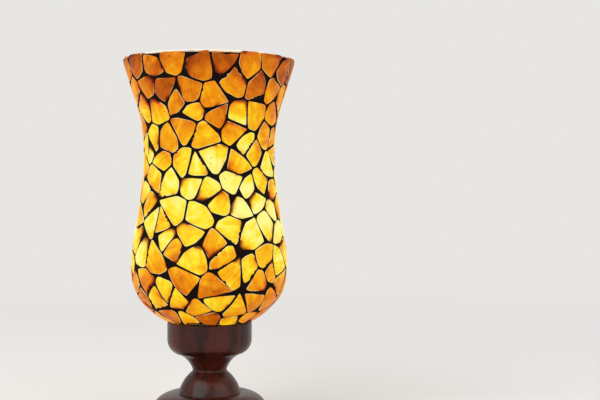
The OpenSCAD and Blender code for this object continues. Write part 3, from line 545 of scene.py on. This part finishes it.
def cork_finish():
    f = Finish("Pressed cork", Roughness=0.85, Specular_IOR_Level=0.2)
    where = f.place()
    crumbs = f.cells(where, 700)
    marks = f.use(group("Specks"), Map=where, Scale=420.0, Size=0.5)["Marks"]
    tone = f.blend(f.remap(crumbs, 0.1, 0.7), srgb(186, 142, 96), srgb(146, 102, 62))
    f.set("Base_Color", f.blend(f.math("MULTIPLY", marks, 0.7), tone, srgb(82, 50, 28)))
    f.set("Normal", f.bump(crumbs, 0.4, 0.2 * MM))
    return f.material


def felt_finish():
    """Pressed board with a thin felt face."""
    f = Finish("Felted board", Roughness=0.95, Specular_IOR_Level=0.1, Sheen_Weight=0.3)
    where = f.place()
    fibres = f.noise(f.scaled(where, (2200, 700, 700), (0, 0, 0.7)), 1.0, 4, 0.7, 1.2)
    f.set("Base_Color", f.blend(fibres, srgb(64, 46, 32), srgb(96, 72, 50)))
    f.set("Normal", f.bump(fibres, 0.6, 0.15 * MM))
    return f.material


def filament_finish():
    """Lit wire."""
    f = Finish("Lit filament", Metallic=1.0, Roughness=0.4, Emission_Strength=4.0)
    turns = f.noise(f.place(), 3000, 2)
    f.set("Base_Color", f.blend(turns, srgb(120, 110, 100), srgb(90, 80, 72)))
    f.set("Emission_Color", f.blend(turns, srgb(255, 190, 90), srgb(255, 214, 130)))
    return f.material


FINISHES = {
    "wood": wood_finish,
    "zinc_steel": lambda: metal_finish(
        "Zinc-plated steel", srgb(206, 208, 208), srgb(166, 168, 166), 0.22, 0.4),
    "spring_steel": lambda: metal_finish(
        "Spring steel", srgb(140, 143, 150), srgb(98, 99, 104), 0.25, 0.4),
    "brass": lambda: metal_finish("Brass", srgb(216, 180, 104), srgb(168, 128, 62), 0.2, 0.38),
    "bulb_metal": lambda: metal_finish(
        "Nickel-plated cap", srgb(214, 212, 206), srgb(178, 176, 168), 0.22, 0.36),
    "black_rubber": lambda: moulded_finish(
        "Black rubber", srgb(34, 34, 34), srgb(24, 24, 24), 0.7, 0.85),
    "block_plastic": lambda: moulded_finish(
        "Ivory plastic", srgb(232, 228, 212), srgb(214, 208, 190), 0.4, 0.55),
    "live_insulation": lambda: moulded_finish(
        "Brown insulation", srgb(120, 72, 44), srgb(104, 60, 36), 0.35, 0.5),
    "neutral_insulation": lambda: moulded_finish(
        "Blue insulation", srgb(44, 96, 176), srgb(36, 82, 156), 0.35, 0.5),
    "bakelite": lambda: moulded_finish(
        "Bakelite", srgb(30, 22, 19), srgb(20, 15, 13), 0.2, 0.32, 300, 0.02, 0.3),
    "porcelain": lambda: moulded_finish(
        "Glazed porcelain", srgb(236, 232, 222), srgb(222, 216, 204), 0.12, 0.2, 260, 0.05),
    "bulb_base_glass": lambda: moulded_finish(
        "Black glass", srgb(18, 18, 22), srgb(10, 10, 14), 0.08, 0.16),
    "frosted_glass": frosted_glass_finish,
    "clear_glass": clear_glass_finish,
    "filament": filament_finish,
    "cork": cork_finish,
    "cover_board": felt_finish,
    "grout": grout_finish,
    "shell_chips": shell_finish,
}
_finishes = {}


def finish(slot):
    """The material of a slot of the record, made at its first use."""
    if slot not in _finishes:
        _finishes[slot] = FINISHES[slot]()
    return _finishes[slot]


def slot_of(node):
    return next(p["material_slot"] for p in frame["record"]["subparts"] if p["node"] == node)


def body_of(node):
    return NODES[node]["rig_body"]


def dress(*nodes):
    """Gives the frame's own solids their finish."""
    for node in nodes:
        materials = NODES[node].data.materials
        materials.clear()
        materials.append(finish(slot_of(node)))


def add_piece(name, bm, node):
    """A new piece from bm that stands for a node of the frame."""
    mesh = bpy.data.meshes.new(name)
    bm.to_mesh(mesh)
    bm.free()
    mesh.shade_smooth()
    mesh.materials.append(finish(slot_of(node)))
    piece = bpy.data.objects.new(name, mesh)
    bpy.context.scene.collection.objects.link(piece)
    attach(piece, body_of(node))
    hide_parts(node)
    return piece


def merged(node):
    """A copy of a node's mesh with its doubles merged."""
    bm = bmesh.new()
    bm.from_mesh(NODES[node].data)
    bmesh.ops.remove_doubles(bm, verts=bm.verts, dist=0.002 * MM)
    return bm


class Bed:
    """The curved bed that the chips lie on: the outside of the frame's grout."""

    def __init__(self):
        bm = merged("grout")
        self.tree = BVHTree.FromBMesh(bm)
        bm.free()
        cad = merged(COURSES[len(COURSES) // 2])
        away = sorted((self.foot(p)[0] - p).length for line, _ in chip_outlines(cad) for p in line)
        cad.free()
        self.depth = away[len(away) // 2]

    def foot(self, point):
        """The nearest point of the bed, and the way out there."""
        place, way, _, _ = self.tree.find_nearest(point)
        return place, way

    def height(self, point):
        place, way = self.foot(point)
        return (point - place).dot(way)

    def drop(self, point, height):
        """The point brought to that height over the bed."""
        place, way = self.foot(point)
        return place + way * height


def chip_outlines(bm):
    """For each chip of a course: its outline, anticlockwise from outside, and its crown."""
    seen = set()
    found = []
    for start in bm.verts:
        if start in seen:
            continue
        seen.add(start)
        part = [start]
        for v in part:
            for e in v.link_edges:
                other = e.other_vert(v)
                if other not in seen:
                    seen.add(other)
                    part.append(other)
        hubs = sorted(part, key=lambda v: len(v.link_edges))[-2:]
        crown = max(hubs, key=lambda v: v.co.xy.length)
        after = {c.link_loop_next.vert: c.link_loop_prev.vert for c in crown.link_loops}
        ring = [next(iter(after))]
        while after[ring[-1]] is not ring[0]:
            ring.append(after[ring[-1]])
        found.append(([v.co.copy() for v in ring], crown.co.copy()))
    return found


def loosened(outline, crown, normal, draw, sizes, top, bed):
    """The outline drawn in at its corners, narrowed towards its tip and a little turned."""
    start = Vector((draw.uniform(0, 90), draw.uniform(0, 90), draw.uniform(0, 90)))
    upwards = (UP - normal * UP.dot(normal)).normalized()
    reach_up = draw.uniform(0.2, 1) * sizes.rim_reach
    reaches = [(p - crown).length for p in outline]
    near, far = min(reaches), max(reaches)
    tip = (outline[reaches.index(far)] - crown).normalized()
    side = normal.cross(tip)
    turn = Matrix.Rotation(draw.uniform(-1, 1) * sizes.twist / far, 3, normal)
    back_off = sizes.loose * (1.5 - 1.3 * (top - crown.z) / top)
    taper = sizes.taper * (0.3 + 0.8 * crown.z / top)
    made = []
    for p, reach in zip(outline, reaches):
        out = (p - crown).normalized()
        at_corner = (reach - near) / (far - near) * (-0.3 if out.angle(tip) < 0.4 else 2.4)
        uneven = 0.35 + at_corner + 0.9 * noise.noise(start + out * 1.4)
        if top - p.z < 1.2 * MM:
            aside = out - upwards * out.dot(upwards)
            made.append(p + upwards * min(reach_up, GLASS_TOP - p.z) - aside * back_off * uneven)
        else:
            away = p - crown - out * back_off * uneven
            away -= side * away.dot(side) * max(0, out.dot(tip)) * taper
            made.append(bed.drop(crown + turn @ away, bed.height(p)))
    return made


def turned(a, b, c, normal):
    """The sine of the turn to the left at b, on the way from a to c."""
    return (b - a).normalized().cross((c - b).normalized()).dot(normal)


def undented(outline, normal):
    """The outline without the points that make it hollow."""
    kept = list(outline)
    dents = True
    while dents:
        dents = [i for i, p in enumerate(kept)
                 if turned(kept[i - 1], p, kept[(i + 1) % len(kept)], normal) < -0.02]
        if dents:
            del kept[dents[0]]
    return kept


def rounded(outline, crown):
    """The outline with all its corners cut but its tip."""
    tip = max(outline, key=lambda p: (p - crown).length)
    made = []
    for i, p in enumerate(outline):
        before, after = outline[i - 1], outline[(i + 1) % len(outline)]
        if p is tip or (p - before).angle(after - p) < math.radians(12):
            made.append(p)
        else:
            made += [p.lerp(before, 0.3), p.lerp(after, 0.3)]
    return made


def followed(outline, bed, top):
    """The outline with a point in the middle of each long edge, to follow the bed."""
    made = []
    for p, q in zip(outline, outline[1:] + outline[:1]):
        made.append(p)
        if (q - p).length > 3.5 * MM and min(top - p.z, top - q.z) > 1.2 * MM:
            made.append(bed.drop((p + q) / 2, (bed.height(p) + bed.height(q)) / 2))
    return made


def rings_round(hub):
    """The two rings of verts round a hub, the inner one first."""
    inner = {e.other_vert(hub) for e in hub.link_edges}
    outer = {e.other_vert(v) for v in inner for e in v.link_edges} - inner - {hub}
    return inner, outer


def broken_side(outline, crown, normal, draw, notch):
    """The outline with one side broken: more points along it, pushed in by uneven steps."""
    side = UP.cross(normal).normalized()
    aim = Matrix.Rotation(draw.uniform(0, math.tau), 3, normal) @ side
    made = []
    for i, p in enumerate(outline):
        q = outline[(i + 1) % len(outline)]
        made.append(p)
        out = ((p + q) / 2 - crown).normalized()
        edge = (q - p).length
        if out.dot(aim) > 0.72 and edge > 2.5 * MM:
            cuts = min(4, int(edge / (1.5 * MM)))
            for k in range(1, cuts + 1):
                point = p.lerp(q, k / (cuts + 1))
                made.append(point - out * notch * draw.uniform(0.0, 1.0))
    return made


def add_chip(bm, outline, crown, bed, top, sizes, draw, layers):
    """One chip: a rounded edge, a crowned face and a back, with its own map and tint."""
    before = set(bm.verts)
    normal = sum(((p - crown).cross(q - crown) for p, q in zip(outline, outline[1:])),
                 Vector()).normalized()
    reach = max((p - crown).length for p in outline)
    outline = undented(loosened(outline, crown, normal, draw, sizes, top, bed), normal)
    outline = followed(outline, bed, top)
    for _ in range(2):
        outline = rounded(outline, crown)
    if draw.random() < sizes.broken:
        outline = broken_side(outline, crown, normal, draw, sizes.notch)
    drop = normal * sizes.edge_drop
    edge = [bm.verts.new(p - drop) for p in outline]
    face = bm.faces.new(edge)
    face.normal_update()

    wall = bmesh.ops.extrude_face_region(bm, geom=[face], use_keep_orig=True)["geom"]
    back = next(g for g in wall if isinstance(g, bmesh.types.BMFace)
                and set(g.verts).isdisjoint(edge))
    if reach > LONG_REACH:
        bmesh.ops.inset_region(bm, faces=[back], thickness=0.1 * MM)
        for v in back.verts:
            v.co = crown.lerp(v.co, 0.5)
    back_hub = bmesh.ops.poke(bm, faces=[back])["verts"][0]
    back_hub.co = crown
    behind = set(bm.verts) - before - set(edge)
    for v in behind:
        v.co = bed.drop(v.co, -sizes.chip_back)

    bmesh.ops.inset_region(bm, faces=[face], thickness=sizes.edge_width, use_even_offset=True)
    bmesh.ops.translate(bm, verts=face.verts[:], vec=drop)
    bmesh.ops.inset_region(bm, faces=[face], thickness=0.1 * MM)
    share_out = 0.55
    for v in face.verts:
        rise = (crown - v.co).dot(normal) * share_out * (1 - share_out)
        v.co = crown.lerp(v.co, share_out) + normal * rise
    hub = bmesh.ops.poke(bm, faces=[face])["verts"][0]
    hub.co = crown

    own = [v for v in bm.verts if v not in before]
    faces = {f for v in own for f in v.link_faces}
    bmesh.ops.recalc_face_normals(bm, faces=list(faces))
    axis = Matrix.Rotation(draw.uniform(0, math.tau), 3, normal) @ UP.cross(normal).normalized()
    bmesh.ops.rotate(bm, cent=crown, verts=[v for v in own if v not in behind],
                     matrix=Matrix.Rotation(draw.uniform(0, sizes.tilt), 3, axis))
    for v in own:
        v.co.xy *= min(1, RIM_R / v.co.xy.length)

    tint, shade_side, inside, shell = layers
    depth = {hub: 1.0} | dict.fromkeys(behind, 0.8)
    for share_in, ring in zip((0.7, 0.25), rings_round(hub)):
        depth |= dict.fromkeys(ring, share_in)
    own_tint = draw.random()
    along = Matrix.Rotation(draw.uniform(0, math.tau), 3, normal) @ UP.cross(normal).normalized()
    across = normal.cross(along)
    to_shade = Matrix.Rotation(draw.uniform(0, math.tau), 3, normal) @ along
    place = Vector((draw.uniform(0, 80), draw.uniform(0, 80)))
    centimetre = 10 * MM
    for v in own:
        v[tint] = own_tint
        # The side value runs from -1 to 1 across the chip. Its material paints shade on the low side
        # and light on the high side.
        v[shade_side] = (v.co - crown).dot(to_shade) / reach
        v[inside] = depth.get(v, 0.0)
    for f in faces:
        for loop in f.loops:
            away = loop.vert.co - crown
            loop[shell].uv = place + Vector((away.dot(along), away.dot(across))) / centimetre


class LAMP_OT_chips(bpy.types.Operator):
    """Makes the twelve courses of shell chips"""
    bl_idname = "lamp.chips"
    bl_label = "Shell chips"

    def execute(self, context):
        sizes = context.scene.lamp_mosaic
        bed = Bed()
        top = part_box(COURSES[-1])[1].z
        for number, node in enumerate(COURSES):
            cad = merged(node)
            draw = random.Random(sizes.seed * 100 + number)
            bm = bmesh.new()
            floats = bm.verts.layers.float
            layers = (floats.new("tint"), floats.new("shade_side"), floats.new("inside"),
                      bm.loops.layers.uv.new("shell"))
            for outline, crown in chip_outlines(cad):
                add_chip(bm, outline, crown, bed, top, sizes, draw, layers)
            cad.free()
            add_piece(node.replace("chips", "shell_chips"), bm, node)
        return {"FINISHED"}


def profile(node, outward):
    """The (radius, height) points of a turned node's outside or inside, from the bottom up."""
    bm = merged(node)
    rows = {}
    for v in bm.verts:
        flat = Vector((v.co.x, v.co.y, 0))
        if (v.normal.dot(flat) > 0) == outward:
            rows[round(v.co.z / MM, 2)] = (flat.length, v.co.z)
    bm.free()
    return [Vector(rows[z]) for z in sorted(rows)]


def pushed(line, distance):
    """A profile moved outwards by that distance, square to itself."""
    made = []
    for i, p in enumerate(line):
        along = (line[min(i + 1, len(line) - 1)] - line[max(i - 1, 0)]).normalized()
        made.append(p + Vector((along.y, -along.x)) * distance)
    return made


class LAMP_OT_grout(bpy.types.Operator):
    """Fills the joints between the chips with grout, from the glass outwards"""
    bl_idname = "lamp.grout"
    bl_label = "Grout"

    def execute(self, context):
        sizes = context.scene.lamp_mosaic
        outside = profile("grout", True)
        outside[-1] += (outside[-2] - outside[-1]).normalized() * sizes.grout_stop
        outer = pushed(outside, Bed().depth - sizes.grout_sink)
        inner = pushed(outside, -sizes.grout_back)
        bm = bmesh.new()
        loop = [bm.verts.new((p.x, 0, p.y)) for p in outer + inner[::-1]]
        edges = [bm.edges.new((a, b)) for a, b in zip(loop, loop[1:] + loop[:1])]
        outer_edges = edges[:len(outer) - 1]
        bmesh.ops.subdivide_edges(bm, edges=outer_edges, cuts=2)
        steps = 240
        bmesh.ops.spin(bm, geom=bm.verts[:] + bm.edges[:], axis=UP, cent=(0, 0, 0),
                       angle=math.tau, steps=steps, use_merge=True)
        bmesh.ops.remove_doubles(bm, verts=bm.verts, dist=0.002 * MM)
        bmesh.ops.recalc_face_normals(bm, faces=bm.faces)
        bm.normal_update()
        for v in bm.verts:
            if v.normal.dot(Vector((v.co.x, v.co.y, 0))) > 0:
                lump = noise.fractal(v.co / (1.6 * MM), 0.7, 2.0, 3)
                v.co += v.normal * lump * sizes.grout_rough
        add_piece("dark_grout", bm, "grout")
        return {"FINISHED"}


class LAMP_OT_glass(bpy.types.Operator):
    """Dresses the clear glass shade and the cork ring under it"""
    bl_idname = "lamp.glass"
    bl_label = "Glass shade"

    def execute(self, context):
        dress("glass_shade", "seat_ring")
        return {"FINISHED"}


class LAMP_OT_bulb(bpy.types.Operator):
    """Dresses the bulb"""
    bl_idname = "lamp.bulb"
    bl_label = "Bulb"

    def execute(self, context):
        dress("bulb_glass", "bulb_stem", "bulb_supports", "bulb_filament", "bulb_cap",
              "bulb_insulator", "bulb_contact")
        return {"FINISHED"}


class LAMP_OT_holder(bpy.types.Operator):
    """Dresses the lampholder"""
    bl_idname = "lamp.holder"
    bl_label = "Lampholder"

    def execute(self, context):
        dress("holder_cap", "holder_sleeve", "holder_core", "screw_shell", "holder_terminals",
              "holder_terminal_screws", "holder_grub_screw", "contact_spring", "centre_contact")
        return {"FINISHED"}


class LAMP_OT_turned_base(bpy.types.Operator):
    """Dresses the turned foot, bell and cup"""
    bl_idname = "lamp.turned_base"
    bl_label = "Turned base"

    def execute(self, context):
        dress("foot", "stem", "cup")
        return {"FINISHED"}


class LAMP_OT_hardware(bpy.types.Operator):
    """Dresses the pipe, its nuts and washers, the cover, the feet and the wiring"""
    bl_idname = "lamp.hardware"
    bl_label = "Hardware and wiring"

    def execute(self, context):
        dress("lamp_pipe", "base_washer", "base_lock_washer", "base_nut", "cup_washer",
              "cup_nut", "riser_sleeve", "bottom_cover", "cover_screws", "rubber_feet",
              "cord_grommet", "terminal_block", "terminal_inserts", "terminal_screws",
              "block_screw", "lead_live", "lead_neutral")
        return {"FINISHED"}


def add_light(name, place, aim, size, watts):
    light = bpy.data.lights.new(name, "AREA")
    light.shape = "DISK"
    light.size = size
    light.energy = watts
    lamp = bpy.data.objects.new(name, light)
    lamp.location = place
    lamp.rotation_euler = (Vector(aim) - Vector(place)).to_track_quat("-Z", "Y").to_euler()
    lamp.visible_camera = False
    bpy.context.scene.collection.objects.link(lamp)


class LAMP_OT_stage(bpy.types.Operator):
    """Sets up the floor, the background, the lights and the camera"""
    bl_idname = "lamp.stage"
    bl_label = "Stage"

    def execute(self, context):
        scene = context.scene
        _, tones, stage = settings()
        self.add_floor(scene, tones)
        self.set_world(scene, tones, stage)
        middle = (cad_low + cad_high) / 2
        add_light("Key", (-1.1, -1.3, 1.3), middle, 2.2, stage.key)
        add_light("Fill", (1.4, -1.1, 0.8), middle, 2.2, stage.fill)
        self.add_camera(scene, stage)
        scene.view_settings.view_transform = "Standard"
        return {"FINISHED"}

    def add_floor(self, scene, tones):
        bm = bmesh.new()
        bmesh.ops.create_circle(bm, cap_ends=True, segments=96, radius=8)
        mesh = bpy.data.meshes.new("Floor")
        bm.to_mesh(mesh)
        bm.free()
        floor = bpy.data.objects.new("Floor", mesh)
        scene.collection.objects.link(floor)
        f = Finish("Pale floor", Base_Color=rgba(tones.floor), Roughness=0.85,
                   Specular_IOR_Level=0.1)
        away = f.vector("LENGTH", f.place())
        plain = f.node("ShaderNodeEmission")
        plain.inputs["Color"].default_value = rgba(tones.floor)
        both = f.node("ShaderNodeMixShader")
        even = f.node("ShaderNodeLightPath").outputs["Is Diffuse Ray"]
        f.feed(both.inputs[0], f.math("MAXIMUM", even, f.remap(away, 0.3, 1.4, 0, 1, True)))
        f.feed(both.inputs[1], f.shader.outputs[0])
        f.feed(both.inputs[2], plain.outputs[0])
        from_below = f.node("ShaderNodeNewGeometry").outputs["Backfacing"]
        seen = f.node("ShaderNodeMixShader")
        f.feed(seen.inputs[0], from_below)
        f.feed(seen.inputs[1], both.outputs[0])
        f.feed(seen.inputs[2], f.node("ShaderNodeBsdfTransparent").outputs[0])
        out = next(n for n in f.tree.nodes if n.bl_idname == "ShaderNodeOutputMaterial")
        f.feed(out.inputs["Surface"], seen.outputs[0])
        mesh.materials.append(f.material)

    def set_world(self, scene, tones, stage):
        world = bpy.data.worlds.new("Soft light")
        world.use_nodes = True
        scene.world = world
        t = Tree(world.node_tree)
        path = t.node("ShaderNodeLightPath").outputs
        through = t.math("MAXIMUM", path["Is Transmission Ray"], path["Is Glossy Ray"])
        seen = t.math("MAXIMUM", path["Is Camera Ray"], through)
        light = t.node("ShaderNodeBackground")
        light.inputs["Color"].default_value = (1, 1, 1, 1)
        light.inputs["Strength"].default_value = stage.sky
        view = t.node("ShaderNodeBackground")
        view.inputs["Color"].default_value = rgba(tones.floor)
        both = t.node("ShaderNodeMixShader")
        t.feed(both.inputs[0], seen)
        t.feed(both.inputs[1], light.outputs[0])
        t.feed(both.inputs[2], view.outputs[0])
        t.feed(t.node("ShaderNodeOutputWorld").inputs["Surface"], both.outputs[0])

    def add_camera(self, scene, stage):
        data = bpy.data.cameras.new("Camera")
        data.lens = stage.lens
        data.sensor_width = 36
        data.clip_end = 50
        camera = bpy.data.objects.new("Camera", data)
        camera.location = (stage.aside, -stage.distance, stage.eye_height)
        camera.rotation_euler = (math.pi / 2 - stage.pitch, 0, 0)
        scene.collection.objects.link(camera)
        scene.camera = camera


OPERATORS = (LAMP_OT_chips, LAMP_OT_grout, LAMP_OT_glass, LAMP_OT_bulb, LAMP_OT_holder,
             LAMP_OT_turned_base, LAMP_OT_hardware, LAMP_OT_stage)


class LAMP_PT_sidebar(bpy.types.Panel):
    """Lists the lamp's pieces and settings"""
    bl_idname = "LAMP_PT_sidebar"
    bl_label = "Mosaic table lamp"
    bl_space_type = "VIEW_3D"
    bl_region_type = "UI"
    bl_category = "Lamp"

    def draw(self, context):
        for operator in OPERATORS:
            self.layout.operator(operator.bl_idname)
        for owner in settings():
            box = self.layout.box()
            for name in owner.__annotations__:
                box.prop(owner, name)


SETTINGS = {
    "lamp_mosaic": LampMosaicSettings,
    "lamp_colours": LampColourSettings,
    "lamp_stage": LampStageSettings,
}
CLASSES = (*SETTINGS.values(), *OPERATORS, LAMP_PT_sidebar)


def register():
    for c in CLASSES:
        bpy.utils.register_class(c)
    for name, owner in SETTINGS.items():
        setattr(bpy.types.Scene, name, PointerProperty(type=owner))


def unregister():
    for name in SETTINGS:
        delattr(bpy.types.Scene, name)
    for c in reversed(CLASSES):
        bpy.utils.unregister_class(c)


def main():
    register()
    bpy.ops.lamp.chips()
    bpy.ops.lamp.grout()
    bpy.ops.lamp.glass()
    bpy.ops.lamp.bulb()
    bpy.ops.lamp.holder()
    bpy.ops.lamp.turned_base()
    bpy.ops.lamp.hardware()
    bpy.ops.lamp.stage()
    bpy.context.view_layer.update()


if __name__ == "__main__":
    main()
